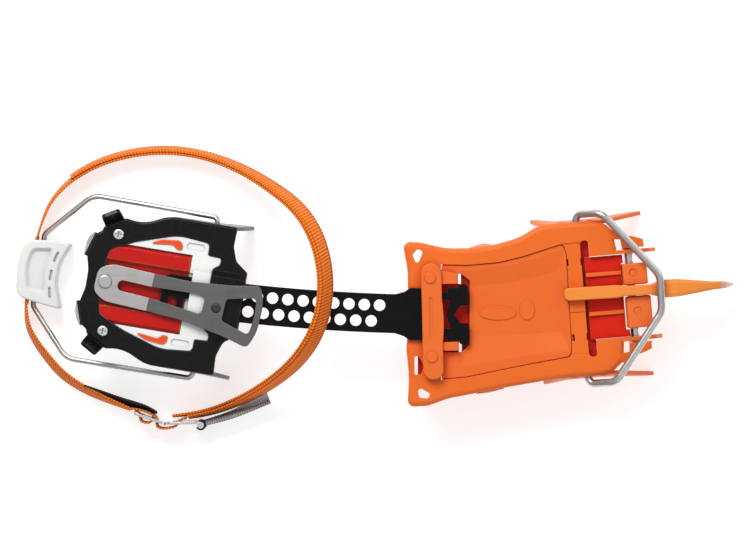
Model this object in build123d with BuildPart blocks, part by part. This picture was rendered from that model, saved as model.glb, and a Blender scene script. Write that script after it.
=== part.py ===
"""One crampon for a right boot: toe unit, linking bar, heel unit, two wire bails and the ankle strap.

X runs forward, Y to the wearer's left and Z up, in millimetres. The points stand on Z = 0 and the
origin lies under the middle of the metalwork, which the strap is not part of.
"""
from build123d import *
from math import atan2, cos, degrees, radians, sin, tan
import os

os.makedirs("parts", exist_ok=True)

# ---------------------------------------------------------------- driving dimensions
SHEET = 2.5                 # folded sheet of both frames
TOE_DECK = 44.0             # upper face of the toe frame above the ground
HEEL_DECK = 46.5            # upper face of the heel frame
SKIRT = 8.0                 # depth of the turned-down rim of both frames
RIM_R = 3.5                 # outer radius of that bend

BAR_T = 2.0                 # linking bar
BAR_Z = 44.5                # its underside
BAR_HALF = 12.7             # half of its width
BAR_RADIUS = 1190.0         # its gentle curve in plan
BAR_HEADING = -2.2          # direction of its centre line at station 0, degrees
BAR_START = (0.0, -8.0)     # station 0 of its centre line
BAR_REAR = -139.5           # station of its rear end
HOLE_PITCH = 10.0
HOLE_R = 3.72
ROW_OFFSET = 5.2            # each row of holes from the centre line
LEFT_ROW = (2.8, 13)        # first station and number of holes
RIGHT_ROW = (-2.3, 14)
PIN_HOLE = 10               # hole of the right row that holds the latch pin

TOE_BAIL_R = 2.5            # stainless wire, 5 mm
TOE_HINGE_Z = 37.0
HEEL_BAIL_R = 1.75          # stainless wire, 3.5 mm
HEEL_HINGE = (65.3, 36.0)   # along and above, in the heel unit
LEVER_HINGE = (-46.8, 10.5)
RUN = 0.1                   # radial running clearance in every hinge

BRIDGE_Z = BAR_Z + BAR_T + 1.0   # underside of the toe bridge
RIVETS = (28.3, -23.1)      # along the bridge
RIVET_R = 2.5

BOLT_AT = (32.8, 34.0)      # cross bolt of the front point, along and above, in the toe unit
BOLT_R = 3.0

LATCH_BEND = 30.5           # from the latch rivet to the line where the leaf bends
LATCH_RISE = 5.0            # degrees
LEAF_T = 1.3
LEAF_Z = HEEL_DECK + 0.3
PIN_R = 3.2

STRAP_W = 15.0
STRAP_T = 1.5


# ---------------------------------------------------------------- planes and helpers
def turned_plane(x, y, angle):
    """The ground plane with its origin moved to (x, y) and its X axis turned by angle degrees."""
    return Plane(origin=(x, y, 0), x_dir=(cos(radians(angle)), sin(radians(angle)), 0), z_dir=(0, 0, 1))


TOE = turned_plane(134.9, 1.0, 4.77)      # toe unit: origin midway between the bail hinge holes
HEEL = turned_plane(-175.2, 12.4, -9.45)  # heel unit: origin at the latch rivet
POINT = turned_plane(122.8, 3.9, 3.5)     # front point: origin at its tail
BRIDGE = turned_plane(37.2, -13.5, 1.33)  # toe bridge: origin at its middle


def elevation(base, v, z, lean=0.0):
    """Upright plane along the base plane's X axis, sketch Y upward, normal to the right.

    A positive lean splays the lower end to the left, a negative lean to the right.
    """
    normal = -base.y_dir * cos(radians(lean)) - base.z_dir * sin(radians(lean))
    return Plane(origin=base.from_local_coords(Vector(0, v, z)), x_dir=base.x_dir, z_dir=normal)


def cross_plane(base, u, z=0.0):
    """Upright plane across the base plane's X axis at u: sketch X to the left, sketch Y upward."""
    return Plane(origin=base.from_local_coords(Vector(u, 0, z)), x_dir=base.y_dir, z_dir=base.x_dir)


def mid_plane(base):
    """Upright plane of symmetry that holds the base plane's X axis."""
    return Plane(origin=base.origin, x_dir=base.x_dir, z_dir=base.y_dir)


def bar_point(station, offset):
    """Point on the curved linking bar, station along its centre line, offset to the left."""
    heading = radians(BAR_HEADING) + station / BAR_RADIUS
    start = radians(BAR_HEADING)
    centre_x = BAR_START[0] - BAR_RADIUS * sin(start)
    centre_y = BAR_START[1] + BAR_RADIUS * cos(start)
    reach = BAR_RADIUS - offset
    return (centre_x + reach * sin(heading), centre_y - reach * cos(heading))


def finish(builder, name):
    """Label a finished sub-part and write its file."""
    builder.part.label = name
    export_step(builder.part, f"parts/{name}.step")


PIN_XY = bar_point(RIGHT_ROW[0] - PIN_HOLE * HOLE_PITCH, -ROW_OFFSET)
LATCH_ANGLE = degrees(atan2(PIN_XY[1] - HEEL.origin.Y, PIN_XY[0] - HEEL.origin.X))
LATCH = turned_plane(HEEL.origin.X, HEEL.origin.Y, LATCH_ANGLE)
PIN_U = ((PIN_XY[0] - HEEL.origin.X) ** 2 + (PIN_XY[1] - HEEL.origin.Y) ** 2) ** 0.5


# ---------------------------------------------------------------- toe unit: frame
def rounded(corners):
    """Closed face whose outline turns at each corner ((x, y), radius)."""
    with BuildSketch() as face:
        with BuildLine():
            FilletPolyline(*[xy for xy, radius in corners], radius=[radius for xy, radius in corners], close=True)
        make_face()
    return face.sketch


def in_ground(base, u, v):
    """Ground-plane coordinates of the point (u, v) of a turned plane."""
    point = base.from_local_coords(Vector(u, v, 0))
    return (point.X, point.Y)


TOE_OUTLINE = rounded([
    ((17.8, 38.3), 4.2), ((29, 38.1), 25), ((46, 34.0), 50), ((70, 34.3), 70), ((94, 41), 40),
    ((106.8, 49.3), 25), (in_ground(TOE, 12, 50), 8), (in_ground(TOE, 19, 47.4), 6),
    (in_ground(TOE, 23.3, 43.2), 6), (in_ground(TOE, 24.7, 30), 20), (in_ground(TOE, 24.7, -30), 20),
    (in_ground(TOE, 23.6, -42.2), 6), (in_ground(TOE, 16.5, -48.3), 6), (in_ground(TOE, 10, -50), 6),
    (in_ground(TOE, -18, -50), 30), ((88, -56), 60), ((48, -63.6), 40), ((34, -68.6), 12), ((21, -69.2), 4.2),
    ((22.3, -50), 15), ((20.3, -31), 15), ((21.6, -18), 20), ((21.2, 20), 20)])

with BuildPart() as toe_tray:
    with BuildSketch(Plane.XY.offset(TOE_DECK - SKIRT)):
        add(TOE_OUTLINE)
    extrude(amount=SKIRT)
    fillet(toe_tray.faces().sort_by(Axis.Z)[-1].edges(), RIM_R)
    with BuildSketch(Plane.XY.offset(TOE_DECK - SKIRT)):
        add(TOE_OUTLINE)
        offset(amount=-SHEET)
    extrude(amount=SKIRT - SHEET, mode=Mode.SUBTRACT)

TOE_SPLAY = 5.8
with BuildPart() as toe_frame:
    # the deep side walls end in a rearward and a forward point
    with BuildSketch(elevation(TOE, 47.5, TOE_DECK, TOE_SPLAY)):
        with BuildLine():
            Polyline((-21, -2.5), (-23, -14), (-28, -43), (-25, -44.2), (-13, -20), (8, -19), (40, -44.2),
                     (45, -43), (26, -15), (20, -6), (14, -2.5), (-21, -2.5))
        make_face()
        fillet(vertices().filter_by(lambda p: p.Y > -21 and p.Y < -5), 3)
    extrude(amount=-SHEET)
    # inner lugs that carry the cross bolt and end in the second pair of front teeth
    with BuildSketch(elevation(TOE, 27.2, TOE_DECK)):
        with BuildLine():
            Polyline((8, -0.5), (26, -0.5), (36, -2), (47, -14), (51.8, -28), (50, -30), (41, -22), (29, -18),
                     (8, -14), (8, -0.5))
        make_face()
        with Locations((BOLT_AT[0], BOLT_AT[1] - TOE_DECK)):
            Circle(BOLT_R, mode=Mode.SUBTRACT)
    extrude(amount=-SHEET)
    # outer front teeth, bent slightly down from the corners of the arms
    slope = radians(14)
    with BuildSketch(Plane(origin=TOE.from_local_coords(Vector(24.2, 0, TOE_DECK - 0.75)),
                           x_dir=TOE.x_dir * cos(slope) - TOE.z_dir * sin(slope),
                           z_dir=TOE.z_dir * cos(slope) + TOE.x_dir * sin(slope))):
        with BuildLine():
            Polyline((-3, 43.5), (0.5, 43), (4.5, 39), (11.5, 38.4), (19, 35.8), (19.4, 30.8), (5, 31.2),
                     (4.3, 36.6), (-3, 37.6), (-3, 43.5))
        make_face()
    extrude(amount=-SHEET)
    mirror(about=mid_plane(TOE))
    # middle and rear points under the rim
    for x, y, angle in ((70, 35.2, 6), (20.9, 23, 92)):
        with BuildSketch(elevation(turned_plane(x, y, angle), -SHEET - 0.2, TOE_DECK, 3 if x > 50 else 0)):
            Polygon((-9, -5), (9, -5), (2.5, -TOE_DECK), (-0.5, -TOE_DECK), align=None)
        extrude(amount=-SHEET)
    with BuildSketch(elevation(turned_plane(75, -59.0, 11.3), SHEET + 0.2, TOE_DECK, -3)):
        Polygon((-9, -5), (9, -5), (2.5, -TOE_DECK), (-0.5, -TOE_DECK), align=None)
    extrude(amount=SHEET)
    with BuildSketch(elevation(turned_plane(22.0, -51, 90), -SHEET - 0.2, TOE_DECK)):
        Polygon((-9, -5), (9, -5), (1.5, -TOE_DECK), (-1.5, -TOE_DECK), align=None)
    extrude(amount=-SHEET)
    add(toe_tray.part)
    # openings: centre panel, front bay between the arms, corner holes, clip notches
    with BuildSketch(Plane.XY.offset(TOE_DECK - SHEET - 1)):
        with BuildLine():
            Polyline((43, 23.6), (60, 23.2), (80, 25), (95, 28.5), (122.4, 37.3), (124.6, 30), (128.2, -30),
                     (127.6, -36.6), (95, -42.6), (60, -49.9), (43, -51.4), (43, 23.6))
        make_face()
        fillet(vertices().sort_by(Axis.X)[-4:], 3)
        with BuildLine():
            FilletPolyline((24.4, 29.8), (27.6, 33.6), (31.2, 32.0), (27.4, 22.6), radius=1.4, close=True)
        make_face()
        with BuildLine():
            FilletPolyline((27.4, -55.6), (36.2, -60.6), (34.6, -63.6), (28.8, -63.2), radius=1.8, close=True)
        make_face()
        with BuildLine():
            FilletPolyline((25.7, -36.4), (28.4, -35.8), (31.8, -43), (29.8, -47.9), (25.7, -48.2), radius=1.2,
                           close=True)
        make_face()
    extrude(amount=SHEET + 3, mode=Mode.SUBTRACT)
    with BuildSketch(TOE.offset(TOE_DECK - SKIRT - 1)):
        with Locations((15, 0)):
            Rectangle(24, 54.4)
        with Locations((4.1, 0)):
            SlotOverall(76, 5.6, rotation=90)
        with Locations([(u, v) for u in (-8.4, 2.0) for v in (-24.5, 24.5)]):
            Rectangle(2.6, 4.4)
    extrude(amount=SKIRT + 2, mode=Mode.SUBTRACT)
    with BuildSketch(BRIDGE.offset(TOE_DECK - SHEET - 1)):
        with Locations([(-0.8, v) for v in RIVETS]):
            Circle(RIVET_R)
    extrude(amount=SHEET + 2, mode=Mode.SUBTRACT)
    # the crossbar is pressed slightly down on both sides of the front point's tail
    with BuildSketch(TOE.offset(TOE_DECK - 0.6)):
        with Locations((-4.5, 23), (-4.5, -22)):
            RectangleRounded(15, 28, 2)
    extrude(amount=2, mode=Mode.SUBTRACT)
    # three pairs of holes for the toe bail
    with BuildSketch(elevation(TOE, 60, 0)):
        with Locations([(u, TOE_HINGE_Z) for u in (-9.5, 0, 9.5)]):
            Circle(TOE_BAIL_R + RUN)
    extrude(amount=120, mode=Mode.SUBTRACT)
finish(toe_frame, "toe_frame")

# ---------------------------------------------------------------- toe unit: bridge over the linking bar
with BuildPart() as toe_bridge:
    with BuildSketch(BRIDGE.offset(BRIDGE_Z)):
        SlotOverall(75.4, 13.2, rotation=90)
        with Locations((0.9, 0)):
            Ellipse(6.6, 26)
    extrude(amount=SHEET)
    fillet(toe_bridge.edges().group_by(Axis.Z)[-1], 0.8)
    with BuildSketch(BRIDGE.offset(TOE_DECK)):
        Polygon((-6, 24.2), (-6, 33), (0, 37), (6, 33), (16.8, 31), (16.8, 24.2), align=None)
        Polygon((-6, -14), (16.4, -13.5), (16.4, -19.2), (6, -19.2), (6, -34), (0, -37), (-6, -34), align=None)
    extrude(amount=BRIDGE_Z - TOE_DECK)
    with BuildSketch(BRIDGE.offset(TOE_DECK - SHEET - 1)):
        with Locations([(-0.8, v) for v in RIVETS]):
            Circle(RIVET_R)
    extrude(amount=12, mode=Mode.SUBTRACT)
    # plain groove between the rivets
    with BuildSketch(BRIDGE.offset(BRIDGE_Z + SHEET)):
        with Locations((-0.6, 2.6)):
            SlotOverall(26, 2.4, rotation=90)
    extrude(amount=-0.4, mode=Mode.SUBTRACT)
finish(toe_bridge, "toe_bridge")

with BuildPart() as bridge_rivets:
    for v in RIVETS:
        with BuildSketch(BRIDGE.offset(TOE_DECK - SHEET)):
            with Locations((-0.8, v)):
                Circle(RIVET_R)
        extrude(amount=BRIDGE_Z + SHEET - TOE_DECK + SHEET)
        for z, height in ((TOE_DECK - SHEET - 1.2, 1.2), (BRIDGE_Z + SHEET, 0.9)):
            with BuildSketch(BRIDGE.offset(z)):
                with Locations((-0.8, v)):
                    Circle(3.7)
            extrude(amount=height)
    chamfer(bridge_rivets.edges().group_by(Axis.Z)[-1], 0.5)
finish(bridge_rivets, "bridge_rivets")

# ---------------------------------------------------------------- toe unit: plastic panels
PANEL_TOP = TOE_DECK - 1.0
DISH = 2.2                  # depth of its sunk middle
with BuildPart() as toe_panel:
    with BuildSketch(Plane.XY.offset(TOE_DECK - SHEET - 2.6)):
        Polygon((44, 27), (60, 26.5), (80, 28.5), (95, 32), (123.5, 40.5), (130.4, -39.5), (95, -45.8), (60, -53),
                (44, -54.5), align=None)
    extrude(amount=2.5)
    with BuildSketch(Plane.XY.offset(TOE_DECK - SHEET - 0.2)):
        Polygon((43.4, 23.2), (60, 22.8), (80, 24.6), (95, 28.1), (122, 36.9), (124.2, 30), (127.8, -30),
                (127.2, -36.1), (95, -42.2), (60, -49.5), (43.4, -51), align=None)
        fillet(vertices().sort_by(Axis.X)[-4:], 3.5)
    extrude(amount=PANEL_TOP - TOE_DECK + SHEET + 0.2)
    # sunk middle with broad sloping cheeks
    with BuildSketch(Plane.XY.offset(PANEL_TOP)):
        Polygon((55, 19.5), (92, 24), (123.4, 33.8), (127.2, -32.6), (92, -36.8), (55, -43), align=None)
    with BuildSketch(Plane.XY.offset(PANEL_TOP - DISH)):
        Polygon((64, 9), (92, 12.5), (118, 19), (121.4, -20.5), (92, -22), (64, -23), align=None)
    loft(ruled=True, mode=Mode.SUBTRACT)
    # plain oval pads moulded on the floor
    with BuildSketch(Plane.XY.offset(PANEL_TOP - DISH)):
        with Locations((80, -8)):
            Ellipse(12, 4.6)
        with Locations((99, -6)):
            Ellipse(5, 6.5)
    extrude(amount=0.5)
    # window round the head of the linking bar
    with BuildSketch(Plane.XY.offset(TOE_DECK - SHEET - 3)):
        Polygon((40, 17.6), (56, 17.6), (61.6, 13), (61.6, -28.5), (56.5, -33.4), (40, -33.4), align=None)
    extrude(amount=SHEET + 3, mode=Mode.SUBTRACT)
finish(toe_panel, "toe_panel")

BAY = 26.8                  # half width of the bay between the lugs
with BuildPart() as toe_antisnow:
    with BuildSketch(Plane.XY.offset(TOE_DECK - 9)):
        Polygon((27.9, 20.5), (60, 20), (in_ground(TOE, -14, 27)), (in_ground(TOE, -14, -27)), (60, -44),
                (27.9, -50.5), align=None)
        with Locations((55, 14.2), (55.6, -30.4)):
            Rectangle(2, 6.5, mode=Mode.SUBTRACT)
    extrude(amount=3)
    with BuildSketch(TOE.offset(TOE_DECK - 9)):
        Polygon((-15, -BAY), (29.4, -BAY), (28.2, BAY), (-15, BAY), align=None)
        with Locations((-2, 0)):
            Rectangle(18, 80)
    extrude(amount=3)
    # raised front shelf, tilted ribs and the slot for the web of the front point
    with BuildSketch(TOE.offset(TOE_DECK - 6)):
        Polygon((3.5, -BAY), (29.4, -BAY), (28.2, BAY), (3.5, BAY), align=None)
    extrude(amount=2.4)
    with BuildSketch(elevation(TOE, 16.4, TOE_DECK)):
        Polygon((3.6, -3.6), (26.5, -3.6), (26.5, -2.6), (3.6, -1), align=None)
    extrude(amount=2.4)
    with BuildSketch(elevation(TOE, -9, TOE_DECK)):
        Polygon((3.6, -3.6), (26.5, -3.6), (26.5, -2.6), (3.6, -1), align=None)
    extrude(amount=2.4)
    with BuildSketch(TOE.offset(TOE_DECK - 10)):
        with Locations((25, 3)):
            Rectangle(10, 7)
        with Locations((32, -0.5)):
            Rectangle(10, 43.4)
    extrude(amount=10, mode=Mode.SUBTRACT)
finish(toe_antisnow, "toe_antisnow")

# ---------------------------------------------------------------- toe unit: front point and its bolt
POINT_TOP = TOE_DECK + 5.4
with BuildPart() as front_point:
    # flat tail and neck
    with BuildSketch(POINT.offset(TOE_DECK + 0.05)):
        with BuildLine():
            FilletPolyline((0, 4.2), (35, 4.2), (39, 3.3), (58, 3.3), (58, -3.3), (39, -3.3), (35, -4.2), (0, -4.2),
                           radius=[3.6, 6, 6, 1, 1, 6, 6, 3.6], close=True)
        make_face()
    extrude(amount=POINT_TOP - TOE_DECK - 0.05)
    chamfer(front_point.edges().group_by(Axis.Z)[-1], 0.6)

    # forged blade: T section that shrinks and droops towards the tip
    blade = ((56, 3.3, POINT_TOP, 5.0, 2.4, 27), (64, 5.9, POINT_TOP - 0.3, 3.2, 2.4, 25),
             (74, 5.7, 47.0, 3.2, 2.3, 22), (86, 4.3, 42.2, 2.8, 2.1, 18.5), (97, 2.8, 36.0, 2.4, 1.8, 15.5),
             (107, 2.3, 28.5, 2.2, 1.6, 13.8), (112.4, 0.7, 21.5, 1.2, 0.5, 15.5))
    for s, half, top, flange, web, bottom in blade:
        with BuildSketch(cross_plane(POINT, s)):
            Polygon((-web, bottom), (web, bottom), (web, top - flange), (half, top - flange), (half, top - 0.8),
                    (half * 0.55, top), (-half * 0.55, top), (-half, top - 0.8), (-half, top - flange),
                    (-web, top - flange), align=None)
    loft(ruled=True)

    # web that the cross bolt goes through
    with BuildSketch(elevation(POINT, -2.4, 0)):
        Polygon((35, TOE_DECK + 1), (35, 32), (39, 27), (57, 27), (57, TOE_DECK + 1), align=None)
    extrude(amount=-4.8)
    with BuildSketch(elevation(TOE, 20, 0)):
        with Locations(BOLT_AT):
            Circle(BOLT_R)
    extrude(amount=40, mode=Mode.SUBTRACT)
finish(front_point, "front_point")

PAD_TOP = TOE_DECK + 1.5
for name, low, high, shift in (("spacer_left", 6.6, 20.6, 0), ("spacer_right", -21.4, -0.9, 1)):
    with BuildPart() as spacer:
        with BuildSketch(TOE.offset(PAD_TOP - 18)):
            with Locations((35.3 + shift, (low + high) / 2)):
                Rectangle(16, high - low)
        extrude(amount=18)
        fillet(spacer.edges().filter_by(Axis.Z), 1.2)
        fillet(spacer.faces().sort_by(Axis.Z)[-1].edges(), 1.0)
        with BuildSketch(TOE.offset(PAD_TOP)):
            with Locations((34 + shift, (low + high) / 2 + 0.8)):
                Circle(2.6)
        extrude(amount=-0.6, mode=Mode.SUBTRACT)
        with BuildSketch(elevation(TOE, 40, 0)):
            with Locations(BOLT_AT):
                Circle(BOLT_R)
        extrude(amount=80, mode=Mode.SUBTRACT)
    finish(spacer, name)

with BuildPart() as cross_bolt:
    with BuildSketch(elevation(TOE, 33.2, 0)):
        with Locations(BOLT_AT):
            Circle(4.4)
    extrude(amount=3.2)
    chamfer(cross_bolt.edges().filter_by(GeomType.CIRCLE), 0.5)
    with BuildSketch(elevation(TOE, 30, 0)):
        with Locations(BOLT_AT):
            Circle(BOLT_R)
    extrude(amount=65.5)
    with BuildSketch(elevation(TOE, 33.2, 0)):
        with Locations(BOLT_AT):
            RegularPolygon(2, 6)
    extrude(amount=2, mode=Mode.SUBTRACT)
finish(cross_bolt, "cross_bolt")

with BuildPart() as cross_nut:
    with BuildSketch(elevation(TOE, -30.1, 0)):
        with Locations(BOLT_AT):
            RegularPolygon(4.5, 6)
            Circle(BOLT_R, mode=Mode.SUBTRACT)
    extrude(amount=4)
finish(cross_nut, "cross_nut")

# ---------------------------------------------------------------- toe bail
BAIL_FRONT_Z = POINT_TOP + TOE_BAIL_R + 0.35
with BuildPart() as toe_bail:
    bail_points = [TOE.from_local_coords(Vector(u, v, z)) for u, v, z in
                   ((0, 45.6, TOE_HINGE_Z), (0, 55.4, TOE_HINGE_Z), (16.5, 54.8, 49), (50.9, 11.5, BAIL_FRONT_Z),
                    (50.2, -12, BAIL_FRONT_Z), (17, -55.4, 49), (0, -55.4, TOE_HINGE_Z), (0, -45.6, TOE_HINGE_Z))]
    with BuildLine() as toe_bail_path:
        FilletPolyline(*bail_points, radius=[4.5, 9, 12, 12, 9, 4.5])
    with BuildSketch(Plane(origin=toe_bail_path.line @ 0, z_dir=toe_bail_path.line % 0)):
        Circle(TOE_BAIL_R)
    sweep(path=toe_bail_path.line)
finish(toe_bail, "toe_bail")

# ---------------------------------------------------------------- linking bar
def bar_edge(first, last, offset):
    """Arc of the bar's edge between two stations."""
    return ThreePointArc(bar_point(first, offset), bar_point((first + last) / 2, offset), bar_point(last, offset))


with BuildPart() as linking_bar:
    with BuildSketch(Plane.XY.offset(BAR_Z)):
        with BuildLine():
            bar_edge(BAR_REAR, 13, BAR_HALF)
            Polyline(bar_point(13, BAR_HALF), bar_point(19, 14.5), bar_point(22.5, 16.9), bar_point(34, 16.9),
                     bar_point(36, 14.4), bar_point(47, 14.4), bar_point(47, 17.3), bar_point(54.7, 17.3),
                     bar_point(54.7, 18.6), bar_point(56.8, 20.1), bar_point(59, 19.8), bar_point(60.8, 17.5),
                     bar_point(60.8, 5.8), bar_point(55.3, 5.6), bar_point(51.5, 0), bar_point(55.3, -5.6),
                     bar_point(60.8, -5.8), bar_point(60.8, -17.5), bar_point(59, -19.8), bar_point(56.8, -20.1),
                     bar_point(54.7, -18.6), bar_point(54.7, -17.3), bar_point(47, -17.3), bar_point(47, -14.4),
                     bar_point(36, -14.4), bar_point(34, -16.9), bar_point(22.5, -16.9), bar_point(19, -14.5),
                     bar_point(13, -BAR_HALF))
            bar_edge(13, BAR_REAR, -BAR_HALF)
            Line(bar_point(BAR_REAR, -BAR_HALF), bar_point(BAR_REAR, BAR_HALF))
        make_face()
        fillet(vertices().sort_by(Axis.X)[:2], 5)
        with BuildLine():
            Polyline(bar_point(38, 9.3), bar_point(48.7, 9.2), bar_point(46.2, 0), bar_point(49, -9.2),
                     bar_point(38, -9.3), bar_point(38, 9.3))
        make_face(mode=Mode.SUBTRACT)
        for (first, count), side in ((LEFT_ROW, 1), (RIGHT_ROW, -1)):
            with Locations([bar_point(first - i * HOLE_PITCH, side * ROW_OFFSET) for i in range(count)]):
                Circle(HOLE_R, mode=Mode.SUBTRACT)
    extrude(amount=BAR_T)
finish(linking_bar, "linking_bar")

# ---------------------------------------------------------------- heel unit: frame
LANE = 14.6                 # half width of the channel that the linking bar slides in
HUMP = (67.6, 90.2)         # the raised guide over the bar, along the heel unit
HUMP_Z = BAR_Z + BAR_T + 0.6
HUMP_TOP = HUMP_Z + SHEET
SCREWS = (3.6, 31.8)        # along, and to each side


def both_sides(half):
    """Close a half outline of ((u, v), radius) corners with its mirror image."""
    return half + [((u, -v), radius) for (u, v), radius in reversed(half)]


HEEL_OUTLINE = rounded(both_sides([
    ((-12.3, 6), 20), ((-14.8, 16), 8), ((-10.8, 30.2), 5), ((-7.4, 32.4), 2), ((-6.6, 35.4), 3.2), ((6.8, 43), 3.5),
    ((18, 41), 25), ((34, 48.8), 22), ((79.2, 48.8), 2), ((78.6, 36), 10), ((81.8, 26.8), 6), ((90.2, 20.6), 3)]))
HEEL_OPENING = rounded(both_sides([
    ((-2.2, 12), 12), ((-0.8, 21.6), 6), ((16, 29.2), 40), ((42, 37.6), 30), ((63.2, 35.6), 3),
    ((63.4, 27.8), 0.8), ((72.6, 27.4), 2), ((71.8, 22.4), 1.5), ((HUMP[0], 19.4), 3)]))

with BuildPart() as heel_tray:
    with BuildSketch(HEEL.offset(HEEL_DECK - SKIRT)):
        add(HEEL_OUTLINE)
    extrude(amount=SKIRT)
    fillet(heel_tray.faces().sort_by(Axis.Z)[-1].edges(), 1.6)
    with BuildSketch(HEEL.offset(HEEL_DECK - SKIRT)):
        add(HEEL_OUTLINE)
        offset(amount=-SHEET)
    extrude(amount=SKIRT - SHEET, mode=Mode.SUBTRACT)
    with BuildSketch(HEEL.offset(HEEL_DECK - SHEET - 1)):
        add(HEEL_OPENING)
    extrude(amount=SHEET + 2, mode=Mode.SUBTRACT)

HEEL_SPLAY = 3.3
STOP_LEAN = 25
with BuildPart() as heel_frame:
    # side walls that carry the heel bail and end in the front pair of heel points
    with BuildSketch(elevation(HEEL, 46.2, HEEL_DECK, HEEL_SPLAY)):
        with BuildLine():
            Polyline((37, -2.5), (38, -9), (50, -17), (64, -19), (84, -HEEL_DECK + 0.1), (88.4, -45.4), (82.5, -16),
                     (79, -2.5), (37, -2.5))
        make_face()
    extrude(amount=-SHEET)
    # rear pair of heel points
    rear = Plane(origin=HEEL.from_local_coords(Vector(-13.0, 23.3, 0)),
                 x_dir=HEEL.x_dir * cos(radians(73)) + HEEL.y_dir * sin(radians(73)), z_dir=(0, 0, 1))
    with BuildSketch(elevation(rear, -SHEET + 0.6, HEEL_DECK, 7)):
        with BuildLine():
            Polyline((-8.8, -1.5), (7.4, -1.5), (7.4, -12), (2.4, -HEEL_DECK), (-2.4, -HEEL_DECK), (-8.4, -12),
                     (-8.8, -1.5))
        make_face()
    extrude(amount=-SHEET)
    # heel stops, turned up behind the boot's heel
    along = HEEL.x_dir * cos(radians(30)) + HEEL.y_dir * sin(radians(30))
    outward = HEEL.y_dir * cos(radians(30)) - HEEL.x_dir * sin(radians(30))
    upward = Vector(0, 0, 1) * cos(radians(STOP_LEAN)) + outward * sin(radians(STOP_LEAN))
    with BuildSketch(Plane(origin=HEEL.from_local_coords(Vector(0.2, 38.4, HEEL_DECK - SHEET)), x_dir=along,
                           z_dir=along.cross(upward))):
        with BuildLine():
            FilletPolyline((-6.6, 0), (-6.2, 13.5), (6.2, 13.5), (6.6, 0), radius=2.5)
            Line((6.6, 0), (-6.6, 0))
        make_face()
    extrude(amount=-SHEET)
    mirror(about=mid_plane(HEEL))
    add(heel_tray.part)
    # tongue that the latch is riveted to
    with BuildSketch(HEEL.offset(HEEL_DECK - SHEET)):
        with Locations((-1.5, 0)):
            Rectangle(14, 14)
    extrude(amount=SHEET)
    # raised guide over the linking bar
    with BuildSketch(cross_plane(HEEL, HUMP[0])):
        Polygon((-19, HEEL_DECK - SHEET), (-19, HEEL_DECK), (-LANE - 0.8, HUMP_TOP), (LANE + 0.8, HUMP_TOP),
                (19, HEEL_DECK), (19, HEEL_DECK - SHEET), align=None)
    extrude(amount=HUMP[1] - HUMP[0] - 0.4)
    with BuildSketch(cross_plane(HEEL, HUMP[0] - 4)):
        Polygon((-LANE, BAR_Z - 0.5), (-LANE, HUMP_Z), (LANE, HUMP_Z), (LANE, BAR_Z - 0.5), align=None)
    extrude(amount=40, mode=Mode.SUBTRACT)
    with BuildSketch(HEEL.offset(BAR_Z)):
        with Locations((70.4, 0)):
            RectangleRounded(17.8, 19.5, 4)
    extrude(amount=8, mode=Mode.SUBTRACT)
    # holes for the heel bail, the screws and the latch rivet
    with BuildSketch(elevation(HEEL, 60, 0)):
        with Locations(HEEL_HINGE):
            Circle(HEEL_BAIL_R + RUN)
    extrude(amount=120, mode=Mode.SUBTRACT)
    with BuildSketch(HEEL.offset(HEEL_DECK - SHEET - 1)):
        with Locations((SCREWS[0], SCREWS[1]), (SCREWS[0], -SCREWS[1])):
            Circle(2)
        Circle(RIVET_R)
    extrude(amount=SHEET + 2, mode=Mode.SUBTRACT)
finish(heel_frame, "heel_frame")

# ---------------------------------------------------------------- heel unit: plastics
FLOOR_TOP = 42.3            # housing floor, below the linking bar
RED_HALF = 25.8
RED_FRONT = 52.7
BRIDGE_REAR = 55.5          # the housing closes over the bar from here to the hump
HOUSING_OUTLINE = rounded(both_sides([
    ((-5.2, 12), 12), ((-3.6, 24), 6), ((15, 32.6), 30), ((42, 41), 30), ((66.6, 38.8), 3), ((67, 30.8), 2),
    ((75.6, 30.4), 3)]))
with BuildPart() as heel_housing:
    with BuildSketch(HEEL.offset(HEEL_DECK - 7)):
        add(HOUSING_OUTLINE)
        with Locations((SCREWS[0], SCREWS[1] - 1), (SCREWS[0], -SCREWS[1] + 1)):
            Circle(5.5)
    extrude(amount=FLOOR_TOP - HEEL_DECK + 7)
    with BuildSketch(HEEL.offset(FLOOR_TOP)):
        add(HEEL_OPENING)
        offset(amount=-0.35)
        with Locations((RED_FRONT / 2 - 10, 0)):
            Rectangle(RED_FRONT + 21, 2 * RED_HALF + 0.8, mode=Mode.SUBTRACT)
    extrude(amount=HEEL_DECK - 0.7 - FLOOR_TOP)
    with BuildSketch(HEEL.offset(HEEL_DECK - 1.5)):
        with Locations((54.5, 31.6), (54.5, -31.6)):
            SlotOverall(12, 4.6)
    extrude(amount=2, mode=Mode.SUBTRACT)
    with BuildSketch(cross_plane(HEEL, BRIDGE_REAR)):
        Polygon((-18, FLOOR_TOP), (-16.5, 48.3), (16.5, 48.3), (18, FLOOR_TOP), align=None)
    extrude(amount=HUMP[0] - 0.35 - BRIDGE_REAR)
    with BuildSketch(cross_plane(HEEL, RED_FRONT - 5)):
        Polygon((-LANE, BAR_Z - 0.5), (-LANE, HUMP_Z - 0.1), (LANE, HUMP_Z - 0.1), (LANE, BAR_Z - 0.5), align=None)
    extrude(amount=60, mode=Mode.SUBTRACT)
    with BuildSketch(HEEL.offset(HEEL_DECK - 8)):
        with Locations((SCREWS[0], SCREWS[1]), (SCREWS[0], -SCREWS[1])):
            Circle(2)
    extrude(amount=10, mode=Mode.SUBTRACT)
finish(heel_housing, "heel_housing")

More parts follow.
